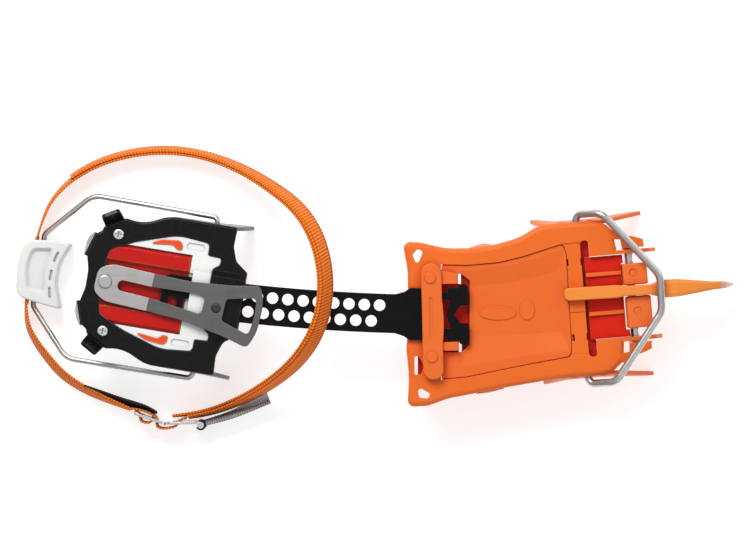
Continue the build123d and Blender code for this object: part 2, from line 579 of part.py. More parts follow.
with BuildPart() as heel_antisnow:
    with BuildSketch(HEEL.offset(FLOOR_TOP)):
        add(HEEL_OPENING)
        offset(amount=-0.35)
        with Locations((RED_FRONT / 2 - 10, 0)):
            Rectangle(RED_FRONT + 20, 2 * RED_HALF, mode=Mode.INTERSECT)
    extrude(amount=HEEL_DECK - 0.9 - FLOOR_TOP)
    with BuildSketch(cross_plane(HEEL, -10)):
        Polygon((-LANE - 0.4, FLOOR_TOP + 0.8), (-LANE - 1.2, 50), (LANE + 1.2, 50), (LANE + 0.4, FLOOR_TOP + 0.8),
                align=None)
    extrude(amount=80, mode=Mode.SUBTRACT)
    with BuildSketch(cross_plane(HEEL, -10)):
        Polygon((RED_HALF - 2.6, 46), (RED_HALF + 1, 43.4), (RED_HALF + 1, 46), align=None)
        Polygon((-RED_HALF + 2.6, 46), (-RED_HALF - 1, 43.4), (-RED_HALF - 1, 46), align=None)
    extrude(amount=80, mode=Mode.SUBTRACT)
finish(heel_antisnow, "heel_antisnow")

with BuildPart() as heel_inserts:
    with BuildSketch(HEEL.offset(HEEL_DECK - 0.7)):
        with BuildLine():
            FilletPolyline((23.4, 29.0), (32, 33.0), (45.6, 34.6), (46.0, 28.2), (42.8, 28.0), (39.4, 30.8), (31, 29.8),
                           radius=[0.6, 6, 3.6, 1, 1, 2.5, 8], close=True)
        make_face()
        mirror(about=Plane.XZ)
    extrude(amount=0.6)
finish(heel_inserts, "heel_inserts")

with BuildPart() as heel_screws:
    for side in (1, -1):
        with BuildSketch(HEEL.offset(HEEL_DECK)):
            with Locations((SCREWS[0], side * SCREWS[1])):
                Circle(3.5)
        extrude(amount=1.8)
        with BuildSketch(HEEL.offset(HEEL_DECK - 9.5)):
            with Locations((SCREWS[0], side * SCREWS[1])):
                Circle(2)
        extrude(amount=9.5)
        with BuildSketch(HEEL.offset(HEEL_DECK + 0.6)):
            with Locations((SCREWS[0], side * SCREWS[1])):
                Rectangle(4, 0.8)
                Rectangle(0.8, 4)
        extrude(amount=2, mode=Mode.SUBTRACT)
    fillet(heel_screws.edges().filter_by(GeomType.CIRCLE).group_by(Axis.Z)[-1], 1.0)
finish(heel_screws, "heel_screws")

with BuildPart() as heel_nuts:
    with BuildSketch(HEEL.offset(HEEL_DECK - 10)):
        for side in (1, -1):
            with Locations((SCREWS[0], side * SCREWS[1])):
                RegularPolygon(3.8, 6)
                Circle(2, mode=Mode.SUBTRACT)
    extrude(amount=3)
finish(heel_nuts, "heel_nuts")

# ---------------------------------------------------------------- heel unit: latch
with BuildPart() as latch_base:
    with BuildSketch(LATCH.offset(LEAF_Z)):
        with BuildLine():
            FilletPolyline((LATCH_BEND - 0.15, -12.4), (2, -12.3), (-6.2, -7.4), (-6.2, 7.4), (2, 12.3),
                           (LATCH_BEND - 0.15, 12.4), radius=[14, 7, 7, 14])
            Line((LATCH_BEND - 0.15, 12.4), (LATCH_BEND - 0.15, -12.4))
        make_face()
        with BuildLine():
            FilletPolyline((LATCH_BEND, -3.7), (8.4, -3.5), (8.4, 3.5), (LATCH_BEND, 3.7), radius=[3.4, 3.4])
            Line((LATCH_BEND, 3.7), (LATCH_BEND, -3.7))
        make_face(mode=Mode.SUBTRACT)
        Circle(RIVET_R, mode=Mode.SUBTRACT)
    extrude(amount=LEAF_T)
finish(latch_base, "latch_base")

rise = radians(LATCH_RISE)
LEAF = Plane(origin=LATCH.from_local_coords(Vector(LATCH_BEND, 0, LEAF_Z)),
             x_dir=LATCH.x_dir * cos(rise) + LATCH.z_dir * sin(rise),
             z_dir=LATCH.z_dir * cos(rise) - LATCH.x_dir * sin(rise))
PIN_LEAF = (PIN_U - LATCH_BEND) * cos(rise) + (BAR_Z + BAR_T / 2 - LEAF_Z) * sin(rise)
with BuildPart() as latch_leaf:
    with BuildSketch(LEAF):
        with BuildLine():
            FilletPolyline((0.15, 12.4), (24, 12.9), (52, 16.8), (69, 20.6), (73.4, 10), (73.4, -10), (69, -20.6),
                           (52, -16.8), (24, -12.9), (0.15, -12.4), radius=[60, 60, 3.5, 30, 30, 3.5, 60, 60])
            Line((0.15, -12.4), (0.15, 12.4))
        make_face()
        with BuildLine():
            FilletPolyline((0, 3.7), (35.4, 6.4), (35.4, -6.4), (0, -3.7), radius=[3, 3])
            Line((0, -3.7), (0, 3.7))
        make_face(mode=Mode.SUBTRACT)
        with BuildLine():
            FilletPolyline((49.2, 7.2), (68.2, 12.2), (69.6, 0), (68.2, -12.2), (49.2, -7.2),
                           radius=[2.5, 2.5, 40, 2.5, 2.5], close=True)
        make_face(mode=Mode.SUBTRACT)
        with Locations((PIN_LEAF, 0)):
            Circle(1.6, mode=Mode.SUBTRACT)
    extrude(amount=LEAF_T)
finish(latch_leaf, "latch_leaf")

with BuildPart() as latch_rivet:
    for z, radius, height in ((HEEL_DECK - SHEET - 0.8, 4.2, 0.8), (HEEL_DECK - SHEET, RIVET_R, SHEET + 0.3 + LEAF_T),
                              (HEEL_DECK, 5.6, 0.3), (LEAF_Z + LEAF_T, 4.4, 1.1)):
        with BuildSketch(LATCH.offset(z)):
            Circle(radius)
        extrude(amount=height)
    fillet(latch_rivet.edges().group_by(Axis.Z)[-1], 0.9)
finish(latch_rivet, "latch_rivet")

with BuildPart() as latch_pin:
    with BuildSketch(LEAF.offset(-0.05)):
        with Locations((PIN_LEAF, 0)):
            Circle(1.6)
    extrude(amount=LEAF_T + 0.05)
    with BuildSketch(LEAF.offset(LEAF_T)):
        with Locations((PIN_LEAF, 0)):
            Circle(3.0)
    extrude(amount=1.0)
    fillet(latch_pin.faces().sort_by(Axis.Z)[-1].edges(), 0.8)
    with BuildSketch(LEAF):
        with Locations((PIN_LEAF, 0)):
            Circle(PIN_R)
    extrude(amount=-5.8)
finish(latch_pin, "latch_pin")

# ---------------------------------------------------------------- heel bail and lever
SAG = atan2(HEEL_HINGE[1] - LEVER_HINGE[1], HEEL_HINGE[0] - LEVER_HINGE[0])
REACH = (HEEL_HINGE[0] - LEVER_HINGE[0]) / cos(SAG)     # from hinge to lever, along the bail
BAIL = Plane(origin=HEEL.from_local_coords(Vector(HEEL_HINGE[0], 0, HEEL_HINGE[1])),
             x_dir=-HEEL.x_dir * cos(SAG) - HEEL.z_dir * sin(SAG),
             z_dir=HEEL.z_dir * cos(SAG) - HEEL.x_dir * sin(SAG))
with BuildPart() as heel_bail:
    with BuildLine(BAIL) as heel_bail_path:
        FilletPolyline((0, 45.2), (0, 53.2), (86.5, 54.2), (REACH, 24), (REACH, -24), (86.5, -54.2), (0, -53.2),
                       (0, -45.2), radius=[3.6, 14, 6, 6, 14, 3.6])
    with BuildSketch(Plane(origin=heel_bail_path.line @ 0, z_dir=heel_bail_path.line % 0)):
        Circle(HEEL_BAIL_R)
    sweep(path=heel_bail_path.line)
finish(heel_bail, "heel_bail")

LEVER_Z = (0.5, 21.8)
PASS_U = -51.2              # the strap passes through the lever behind the wire
PASS_V = (-23.8, 21.5)      # and moves with it from here to here
with BuildPart() as heel_lever:
    with BuildSketch(HEEL.offset(LEVER_Z[0])):
        with BuildLine():
            FilletPolyline((-60.4, 2), (-58.6, 18.2), (-38.7, 20.9), (-27.6, 20.6), (-33.6, 6), (-33.6, -8),
                           (-27.8, -23.2), (-47, -21), (-58.4, -18.4),
                           radius=[60, 8, 30, 1.2, 25, 25, 1.2, 30, 8], close=True)
        make_face()
    extrude(amount=LEVER_Z[1] - LEVER_Z[0])
    chamfer(heel_lever.faces().filter_by(Axis.Z).edges(), 0.8)
    # finger recess with a raised pad in it, and three drain slots along the hollow front edge
    with BuildSketch(HEEL.offset(LEVER_Z[1])):
        with BuildLine():
            FilletPolyline((-55.5, 1), (-53, 13.5), (-38, 16), (-41.5, 2), (-39, -14), (-52, -14.5),
                           radius=[30, 5, 2, 20, 2, 5], close=True)
        make_face()
    extrude(amount=-2.2, taper=45, mode=Mode.SUBTRACT)
    with BuildSketch(HEEL.offset(LEVER_Z[1] - 1)):
        for u, v, turn in ((-36, 10.3, -14), (-37.6, -2, 0), (-36.4, -13.4, 12)):
            with Locations((u, v)):
                SlotOverall(7, 1.6, rotation=90 + turn)
    extrude(amount=2, mode=Mode.SUBTRACT)
    # bore for the bail and the slot that the strap is threaded through
    with BuildSketch(elevation(HEEL, -40, 0)):
        with Locations(LEVER_HINGE):
            Circle(HEEL_BAIL_R + RUN)
        with Locations((PASS_U, LEVER_HINGE[1])):
            Rectangle(STRAP_T + 1, STRAP_W + 0.8)
    extrude(amount=-80, mode=Mode.SUBTRACT)
finish(heel_lever, "heel_lever")

# ---------------------------------------------------------------- ankle strap
LOW_Z = 8.6                 # middle of the strap where it stands on its edge
LAYER = 1.9                 # from the middle of one layer to the middle of the next
CLIMB_X = -111.0            # ahead of this the strap rises to pass over the bar
ANKLE = ((-222.1, 42.3, LOW_Z), (-219.2, 53, LOW_Z), (-212.5, 67.5, LOW_Z), (-199.5, 80.5, LOW_Z),
         (-180.5, 91, LOW_Z), (-158, 97, LOW_Z), (-134, 98.6, LOW_Z), (-110, 94.5, LOW_Z), (-88, 86, 18),
         (-68, 74, 32), (-50, 60, 46), (-39, 43, 54), (-33.5, 24, 57.2), (-32.5, 5, 57.6), (-36, -14, 57),
         (-44, -30, 52), (-56, -44, 40), (-72, -56, 26), (-89, -65.5, 14), (-107, -72.3, LOW_Z),
         (-123, -75.3, LOW_Z), (-133.5, -76.2, LOW_Z))
REAR = ((-229.7, -3.0, LOW_Z), (-229.9, -13.5, LOW_Z), (-225.2, -25, LOW_Z), (-217, -36.5, LOW_Z),
        (-206.5, -49, LOW_Z), (-192, -58.6, LOW_Z), (-175.5, -66.2, LOW_Z), (-161.4, -71.6, LOW_Z))
LINER = ((-191.6, -56.6, LOW_Z), (-179.5, -62.2, LOW_Z), (-167, -67.0, LOW_Z), (-156, -69.6, LOW_Z),
         (-149, -71.4, LOW_Z), (-143.8, -74, LOW_Z))
PULL_TAB = ((-111.8, -80.6, LOW_Z), (-99, -77.2, LOW_Z), (-84.5, -71.2, LOW_Z), (-70, -64.4, LOW_Z))


def shifted(route, distance):
    """The route moved sideways in plan, to the right of its direction."""
    moved = []
    for i, (x, y, z) in enumerate(route):
        before = route[max(i - 1, 0)]
        after = route[min(i + 1, len(route) - 1)]
        chord = Vector(after[0] - before[0], after[1] - before[1]).normalized()
        moved.append((x + distance * chord.Y, y - distance * chord.X, z))
    return moved


TAIL = list(reversed(shifted(ANKLE[3:21], -LAYER)))


def bend_radii(route):
    """As large an arc at each corner, in plan, as its two runs allow."""
    corners = [Vector(x, y) for x, y, z in route]
    radii = []
    for a, b, c in zip(corners, corners[1:], corners[2:]):
        half_turn = radians((b - a).get_angle(c - b)) / 2
        radii.append(0.45 * min((b - a).length, (c - b).length) / tan(half_turn))
    return radii


def height_band(route):
    """Corners, in the YZ plane, of the band that the strap fills as it climbs over the bar and falls."""
    upper = [(110 if route[0][1] > 0 else -110, LOW_Z + STRAP_W / 2)]
    lower = [(upper[0][0], LOW_Z - STRAP_W / 2)]
    for before, here, after in zip(route, route[1:], route[2:]):
        if here[0] > CLIMB_X:
            run = Vector(after[0] - before[0], after[1] - before[1]).length
            half = STRAP_W / 2 / cos(atan2(after[2] - before[2], run))
            upper.append((here[1], here[2] + half))
            lower.append((here[1], here[2] - half))
    upper.append((-upper[0][0], upper[0][1]))
    lower.append((-lower[0][0], lower[0][1]))
    return upper + lower[::-1]


def webbing(route, thickness=STRAP_T):
    """Face of a strap on edge, seen from above."""
    with BuildSketch() as face:
        with BuildLine():
            FilletPolyline(*[(x, y) for x, y, z in route], radius=bend_radii(route))
        trace(line_width=thickness)
    return face.sketch


def report(name, route, piece, thickness=STRAP_T):
    """Print the bend radii and how the solid compares with the strap's section times its length."""
    length = sum((Vector(*b) - Vector(*a)).length for a, b in zip(route, route[1:]))
    share = piece.part.volume / (thickness * STRAP_W * length)
    radii = " ".join(f"{radius:.0f}" for radius in bend_radii(route))
    print(f"{name} length {length:.0f} volume share {share:.2f} radii {radii}")


for name, route in (("ankle_strap", ANKLE), ("strap_tail", TAIL)):
    with BuildPart() as climb:
        with BuildSketch():
            add(webbing(route))
            with Locations((CLIMB_X + 100, 0)):
                Rectangle(200, 260, mode=Mode.INTERSECT)
        extrude(amount=80)
        with BuildSketch(Plane.YZ.offset(CLIMB_X - 1)):
            Polygon(*height_band(route), align=None)
        extrude(amount=120, mode=Mode.INTERSECT)
    with BuildPart() as layer:
        with BuildSketch(Plane.XY.offset(LOW_Z - STRAP_W / 2)):
            add(webbing(route))
            with Locations((CLIMB_X - 100, 0)):
                Rectangle(200, 260, mode=Mode.INTERSECT)
        extrude(amount=STRAP_W)
        add(climb.part)
    report(name, route, layer)
    finish(layer, name)

for name, route, thickness in (("strap_rear", REAR, STRAP_T), ("strap_liner", LINER, 1.2), ("pull_tab", PULL_TAB, 2.2)):
    with BuildPart() as layer:
        with BuildSketch(Plane.XY.offset(LOW_Z - STRAP_W / 2)):
            add(webbing(route, thickness))
        extrude(amount=STRAP_W)
    report(name, route, layer, thickness)
    finish(layer, name)

with BuildPart() as strap_pass:
    with BuildSketch(HEEL.offset(LEVER_HINGE[1] - STRAP_W / 2)):
        with Locations((PASS_U, (PASS_V[0] + PASS_V[1]) / 2)):
            Rectangle(STRAP_T, PASS_V[1] - PASS_V[0])
    extrude(amount=STRAP_W)
finish(strap_pass, "strap_pass")

# ---------------------------------------------------------------- buckle
BUCKLE_H = 18.5
FRAME = turned_plane(-148.2, -77.6, -18.5)   # buckle frame: origin at its middle
RING = turned_plane(-125.6, -80.5, 1.2)      # pull ring: origin at its middle
CURL = (-114.5, -82.0)                       # the rolled end that the pull tab hangs on
with BuildPart() as buckle_frame:
    with BuildSketch(elevation(FRAME, -0.9, 0.3)):
        with Locations((0, BUCKLE_H / 2)):
            RectangleRounded(22.4, BUCKLE_H, 2.5)
            with Locations((-6.6, 0), (3.4, 0)):
                RectangleRounded(5, 15.6, 1, mode=Mode.SUBTRACT)
    extrude(amount=-1.8)
finish(buckle_frame, "buckle_frame")

with BuildPart() as buckle_ring:
    with BuildSketch(elevation(RING, -0.9, 0.3)):
        with Locations((0, BUCKLE_H / 2)):
            RectangleRounded(21.6, BUCKLE_H, 2.5)
            with Locations((-1.5, 0)):
                RectangleRounded(12, 15.6, 1.5, mode=Mode.SUBTRACT)
    extrude(amount=-1.8)
    with BuildSketch(Plane.XY.offset(0.3)):
        with Locations(CURL):
            Circle(2.2)
    extrude(amount=BUCKLE_H)
finish(buckle_ring, "buckle_ring")
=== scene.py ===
"""Looks of the crampon: materials on the CAD frame, the webbing straps and their loops, light and camera.

Lengths are metres in the frame of the CAD: X forward, Y to the wearer's left, Z up, ground at Z = 0.
"""
import bpy
import bmesh
from math import cos, pi, radians, sin
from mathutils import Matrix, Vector


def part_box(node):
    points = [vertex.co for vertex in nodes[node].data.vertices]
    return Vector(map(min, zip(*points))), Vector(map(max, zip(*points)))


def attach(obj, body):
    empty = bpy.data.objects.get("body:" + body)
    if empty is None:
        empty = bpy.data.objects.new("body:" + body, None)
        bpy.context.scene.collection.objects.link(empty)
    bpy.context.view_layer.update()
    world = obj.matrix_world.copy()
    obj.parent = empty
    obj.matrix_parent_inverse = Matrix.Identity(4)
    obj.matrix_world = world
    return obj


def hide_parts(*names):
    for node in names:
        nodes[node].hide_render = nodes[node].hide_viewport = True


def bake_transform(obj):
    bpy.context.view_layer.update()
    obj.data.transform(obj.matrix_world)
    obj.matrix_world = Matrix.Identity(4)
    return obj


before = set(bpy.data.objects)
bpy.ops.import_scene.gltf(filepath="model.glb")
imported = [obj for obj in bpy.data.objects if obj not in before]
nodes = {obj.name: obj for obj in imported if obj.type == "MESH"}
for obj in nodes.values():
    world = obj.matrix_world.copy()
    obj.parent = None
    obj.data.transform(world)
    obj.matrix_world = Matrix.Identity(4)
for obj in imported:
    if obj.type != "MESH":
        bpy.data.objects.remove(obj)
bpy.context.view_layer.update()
MM = 0.001
UP = Vector((0, 0, 1))


# ---------------------------------------------------------------- node helpers
class Look:
    """A procedural material under construction."""

    def __init__(self, name, colour, roughness, metallic=0.0):
        self.material = bpy.data.materials.new(name)
        self.material.use_nodes = True
        self.tree = self.material.node_tree
        self.surface = self.tree.nodes["Principled BSDF"]
        self.surface.inputs["Base Color"].default_value = (*colour, 1)
        self.surface.inputs["Roughness"].default_value = roughness
        self.surface.inputs["Metallic"].default_value = metallic
        self.place = self.tree.nodes.new("ShaderNodeTexCoord")

    def node(self, kind, **settings):
        made = self.tree.nodes.new(kind)
        for key, value in settings.items():
            setattr(made, key, value)
        return made

    def link(self, source, target):
        self.tree.links.new(source, target)

    def scaled(self, scale, source="Object"):
        """Texture coordinates stretched by (x, y, z)."""
        mapping = self.node("ShaderNodeMapping")
        mapping.inputs["Scale"].default_value = scale
        self.link(self.place.outputs[source], mapping.inputs["Vector"])
        return mapping.outputs["Vector"]

    def noise(self, scale, detail=3.0, stretch=(1, 1, 1), source="Object"):
        made = self.node("ShaderNodeTexNoise")
        made.inputs["Scale"].default_value = scale
        made.inputs["Detail"].default_value = detail
        self.link(self.scaled(stretch, source), made.inputs["Vector"])
        return made.outputs["Fac"]

    def ramp(self, value, low, high, start=0.0, end=1.0):
        """Grey from start to end as the value goes from low to high."""
        made = self.node("ShaderNodeMapRange")
        made.inputs["From Min"].default_value = low
        made.inputs["From Max"].default_value = high
        made.inputs["To Min"].default_value = start
        made.inputs["To Max"].default_value = end
        self.link(value, made.inputs["Value"])
        return made.outputs["Result"]

    def maths(self, operation, first, second):
        made = self.node("ShaderNodeMath", operation=operation)
        for socket, value in zip(made.inputs, (first, second)):
            if isinstance(value, (int, float)):
                socket.default_value = value
            else:
                self.link(value, socket)
        return made.outputs["Value"]

    def tint(self, factor, second, first=None):
        """Blends the colour so far towards a second one."""
        made = self.node("ShaderNodeMix", data_type="RGBA")
        colour = self.surface.inputs["Base Color"]
        if colour.is_linked:
            self.link(colour.links[0].from_socket, made.inputs[6])
        else:
            made.inputs[6].default_value = colour.default_value
        made.inputs[7].default_value = (*second, 1)
        if isinstance(factor, (int, float)):
            made.inputs[0].default_value = factor
        else:
            self.link(factor, made.inputs[0])
        self.link(made.outputs[2], colour)
        return self

    def rough(self, value, low, high, start, end):
        self.link(self.ramp(value, low, high, start, end), self.surface.inputs["Roughness"])
        return self

    def relief(self, height, distance, strength=0.5, edge=0.0):
        """Bump from a height, with edges rounded by the edge radius."""
        bump = self.node("ShaderNodeBump")
        bump.inputs["Strength"].default_value = strength
        bump.inputs["Distance"].default_value = distance
        self.link(height, bump.inputs["Height"])
        if edge:
            bevel = self.node("ShaderNodeBevel", samples=6)
            bevel.inputs["Radius"].default_value = edge
            self.link(bevel.outputs["Normal"], bump.inputs["Normal"])
        self.link(bump.outputs["Normal"], self.surface.inputs["Normal"])
        return self

    def edges(self, radius, low=0.02, high=0.25):
        """1 on sharp edges and 0 on flat faces."""
        bevel = self.node("ShaderNodeBevel", samples=6)
        bevel.inputs["Radius"].default_value = radius
        geometry = self.node("ShaderNodeNewGeometry")
        dot = self.node("ShaderNodeVectorMath", operation="DOT_PRODUCT")
        self.link(bevel.outputs["Normal"], dot.inputs[0])
        self.link(geometry.outputs["Normal"], dot.inputs[1])
        return self.ramp(self.maths("SUBTRACT", 1.0, dot.outputs["Value"]), low, high)

    def shade_recesses(self, colour, reach=0.006, amount=0.8):
        """Painted shade: deeper colour where the surface faces something close by, from ambient occlusion.
        """
        shade = self.node("ShaderNodeAmbientOcclusion", samples=8)
        shade.inputs["Distance"].default_value = reach
        return self.tint(self.ramp(shade.outputs["AO"], 0.95, 0.35, 0, amount), colour)

    def gloss(self, level):
        self.surface.inputs["Specular IOR Level"].default_value = level
        return self

    def height_above(self, low, high, axis="X"):
        """0 to 1 between two places along an axis of the part's frame."""
        split = self.node("ShaderNodeSeparateXYZ")
        self.link(self.place.outputs["Object"], split.inputs[0])
        return self.ramp(split.outputs[axis], low, high)


def powder_coat(name, colour, dark, pale, recess_shade, roughness=0.42, level=0.3, thin=0.45):
    """Baked paint: orange peel and colour drift, with painted shade deeper in recesses and a painted
    highlight paler on the edges.
    """
    look = Look(name, colour, roughness).gloss(level)
    look.tint(look.ramp(look.noise(28, 4), 0.35, 0.75, 0, 0.35), dark)
    # painted shade: deeper colour in recesses, from ambient occlusion
    look.shade_recesses(recess_shade)
    # painted highlight: sharp edges turn towards the pale colour, as strongly as thin sets
    look.tint(look.maths("MULTIPLY", look.edges(0.0008), thin), pale)
    look.rough(look.noise(320, 3), 0.3, 0.7, roughness - 0.07, roughness + 0.1)
    look.relief(look.noise(1500, 2), 0.00005, 0.3, edge=0.0006)
    return look


def stainless(name, colour, roughness, stretch, contrast=0.5, relief=0.25, stain=0.3):
    """Drawn or rolled steel with fine lines along its length, and painted shade deeper in its recesses."""
    look = Look(name, colour, roughness, metallic=1.0)
    lines = look.noise(260, 5, stretch)
    look.tint(look.ramp(lines, 0.3, 0.75, 0, contrast), tuple(0.55 * c for c in colour))
    look.tint(look.ramp(look.noise(60, 4), 0.5, 0.8, 0, stain), tuple(0.6 * c for c in colour))
    # painted shade: deeper colour in recesses, from ambient occlusion
    look.shade_recesses(tuple(0.25 * c for c in colour), 0.003, 0.7)
    look.rough(lines, 0.3, 0.7, roughness - 0.05, roughness + 0.1)
    look.relief(lines, 0.00002, relief, edge=0.0004)
    return look


def moulded(name, colour, dark, recess_shade, roughness=0.5, glow=0.0, edge=0.0006, level=0.35, reach=0.006,
            amount=0.8):
    """Injection-moulded plastic with a fine spark texture and painted shade deeper in its recesses."""
    look = Look(name, colour, roughness).gloss(level)
    look.tint(look.ramp(look.noise(45, 3), 0.4, 0.8, 0, 0.3), dark)
    # painted shade: deeper colour in recesses, from ambient occlusion
    look.shade_recesses(recess_shade, reach, amount)
    look.rough(look.noise(500, 2), 0.3, 0.7, roughness - 0.06, roughness + 0.08)
    look.relief(look.noise(2400, 2), 0.00005, 0.3, edge=edge)
    if glow:
        look.surface.inputs["Subsurface Weight"].default_value = glow
        look.surface.inputs["Subsurface Radius"].default_value = (0.004, 0.003, 0.002)
        look.surface.inputs["Subsurface Scale"].default_value = 1.0
    return look


TWILL = 4.5 * MM             # how far a rib runs along the strap from one edge to the other
YARNS = 11                   # ribs along the strap, side by side from edge to edge
EDGE_LINE = 0.022            # half the width of the dark line inside each selvedge, as a share of the strap


def webbing_look(name, colour, dark, rib=2.1 * MM, border=0.10, worn=0.12):
    """Woven strap with ribs, darker selvedges and fuzz, and painted shade in its recesses. UV is metres
    along it and 0 to 1 across it.
    """
    look = Look(name, colour, 0.82)
    split = look.node("ShaderNodeSeparateXYZ")
    look.link(look.place.outputs["UV"], split.inputs[0])
    along = split.outputs["X"]
    across = split.outputs["Y"]
    slant = look.maths("ADD", along, look.maths("MULTIPLY", across, TWILL))
    ribs = look.maths("SINE", look.maths("MULTIPLY", slant, 2 * pi / rib), 0)
    yarns = look.maths("SINE", look.maths("MULTIPLY", across, 2 * pi * YARNS), 0)
    weave = look.maths("ADD", ribs, look.maths("MULTIPLY", yarns, 0.5))
    look.tint(look.ramp(weave, 0.4, -1.1, 0, 0.9), dark)
    middle = look.maths("ABSOLUTE", look.maths("SUBTRACT", across, 0.5), 0)
    line = look.maths("COMPARE", middle, 0.5 - border)
    line.node.inputs[2].default_value = EDGE_LINE
    look.tint(look.maths("MULTIPLY", line, 0.75), tuple(0.25 * c for c in dark))
    look.tint(look.ramp(look.noise(900, 4), 0.5, 0.8, 0, worn), tuple(min(1, 1.25 * c) for c in colour))
    # painted shade: deeper colour in recesses, from ambient occlusion
    look.shade_recesses(tuple(0.5 * c for c in dark), 0.003, 0.6)
    look.relief(weave, 0.00022, 0.7)
    look.gloss(0.2)
    look.surface.inputs["Sheen Weight"].default_value = 0.06
    look.surface.inputs["Sheen Roughness"].default_value = 0.5
    return look


# ---------------------------------------------------------------- materials
# each paint's third colour is a painted highlight on its edges and its fourth a painted shade in its
# recesses
ORANGE = (0.85, 0.155, 0.014)
ORANGE_SHADE = (0.62, 0.050, 0.004)
ORANGE_HIGHLIGHT = (1.0, 0.34, 0.08)
orange_paint = powder_coat("orange paint", ORANGE, (0.78, 0.115, 0.008), ORANGE_HIGHLIGHT, ORANGE_SHADE)
bridge_paint = powder_coat("bridge paint", (0.84, 0.155, 0.022), (0.76, 0.115, 0.012), ORANGE_HIGHLIGHT,
                           ORANGE_SHADE)
black_paint = powder_coat("black paint", (0.006, 0.006, 0.007), (0.003, 0.003, 0.003), (0.16, 0.16, 0.165),
                          (0.002, 0.002, 0.002), 0.24, level=0.22, thin=0.55)
bar_paint = powder_coat("bar paint", (0.005, 0.005, 0.006), (0.003, 0.003, 0.003), (0.05, 0.05, 0.05),
                        (0.002, 0.002, 0.002), 0.34, level=0.12, thin=0.4)

# each plastic's third colour is a painted shade in its recesses
orange_plastic = moulded("orange plastic", (0.84, 0.145, 0.014), (0.76, 0.105, 0.008), (0.66, 0.05, 0.004),
                         0.50, reach=0.009)
spacer_plastic = moulded("spacer plastic", (0.86, 0.165, 0.022), (0.78, 0.12, 0.012), ORANGE_SHADE, 0.46)
# the toe plate's deep red is partly the plastic's own colour and partly shade painted into it
toe_plate = moulded("toe plate", (0.70, 0.014, 0.003), (0.54, 0.008, 0.002), (0.34, 0.003, 0.001), 0.46,
                    glow=0.1, level=0.18)
LIT_RIB_HEIGHTS = (0.0405, 0.0411)    # between these heights the plate's red, painted as shade, gives way to orange rib tops painted as lit
toe_plate.tint(toe_plate.height_above(*LIT_RIB_HEIGHTS, "Z"), (0.86, 0.145, 0.018))
# painted highlight: orange along the plate's edges
toe_plate.tint(toe_plate.maths("MULTIPLY", toe_plate.edges(0.0012), 0.4), (0.95, 0.20, 0.04))
red_plate = moulded("red plate", (0.53, 0.007, 0.004), (0.40, 0.003, 0.002), (0.24, 0.002, 0.001), 0.34,
                    glow=0.08, level=0.25)
# painted highlight: orange along the plate's edges
red_plate.tint(red_plate.maths("MULTIPLY", red_plate.edges(0.0016), 0.8), (0.95, 0.16, 0.03))
white_plastic = moulded("white plastic", (0.86, 0.86, 0.84), (0.78, 0.78, 0.77), (0.52, 0.52, 0.52), 0.40,
                        glow=0.15)
lever_plastic = moulded("lever plastic", (0.80, 0.80, 0.785), (0.74, 0.74, 0.73), (0.38, 0.38, 0.375), 0.36,
                        glow=0.12, edge=0.0014, reach=0.010, amount=1.0)
leaf_plastic = moulded("leaf plastic", (0.80, 0.075, 0.014), (0.70, 0.05, 0.008), (0.55, 0.03, 0.004), 0.38)
# painted highlight: paler orange along the leaves' edges
leaf_plastic.tint(leaf_plastic.maths("MULTIPLY", leaf_plastic.edges(0.0016), 0.7), (0.93, 0.22, 0.06))

wire_steel = stainless("wire steel", (0.60, 0.595, 0.585), 0.32, (1, 1, 1), 0.12, relief=0.08, stain=0.15)
leaf_steel = stainless("leaf steel", (0.60, 0.58, 0.57), 0.40, (0.10, 1.6, 1.6), 0.30, stain=0.45)
arm_steel = stainless("arm steel", (0.180, 0.176, 0.172), 0.40, (0.10, 1.6, 1.6), 0.30, stain=0.35)
buckle_steel = stainless("buckle steel", (0.94, 0.94, 0.94), 0.26, (0.3, 0.3, 1.5), 0.10,
                         relief=0.08, stain=0.12)
screw_steel = stainless("screw steel", (0.92, 0.92, 0.93), 0.30, (1, 1, 1), 0.08, relief=0.04, stain=0.1)
pin_steel = stainless("pin steel", (0.07, 0.068, 0.066), 0.42, (1, 1, 1), 0.3, relief=0.2)

strap_look = webbing_look("orange webbing", (0.98, 0.245, 0.012), (0.56, 0.060, 0.004))
lining_look = webbing_look("dark lining", (0.045, 0.043, 0.042), (0.015, 0.015, 0.015), rib=0.9 * MM)
tab_look = webbing_look("grey tab", (0.42, 0.42, 0.43), (0.12, 0.12, 0.125), rib=1.6 * MM)
loop_look = webbing_look("black loop", (0.030, 0.030, 0.031), (0.010, 0.010, 0.010), rib=1.0 * MM)


BARE_FROM = 11 * MM          # where the point's paint starts to wear through, back from its tip
BARE_FULLY = 6 * MM


def forged_paint():
    """The front point: lighter paint, rubbed down to warm bare steel at its tip."""
    look = powder_coat("forged paint", (0.90, 0.285, 0.045), (0.84, 0.20, 0.025), (1.0, 0.45, 0.12),
                       ORANGE_SHADE, 0.40)
    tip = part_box("front_point")[1].x
    fade = look.height_above(tip - BARE_FROM, tip - BARE_FULLY)
    ragged = look.maths("ADD", fade, look.ramp(look.noise(700, 4), 0.3, 0.7, -0.35, 0.35))
    bare = look.ramp(ragged, 0.45, 0.6)
    look.tint(bare, (0.80, 0.50, 0.40))
    look.link(look.maths("MULTIPLY", bare, 0.6), look.surface.inputs["Metallic"])
    return look


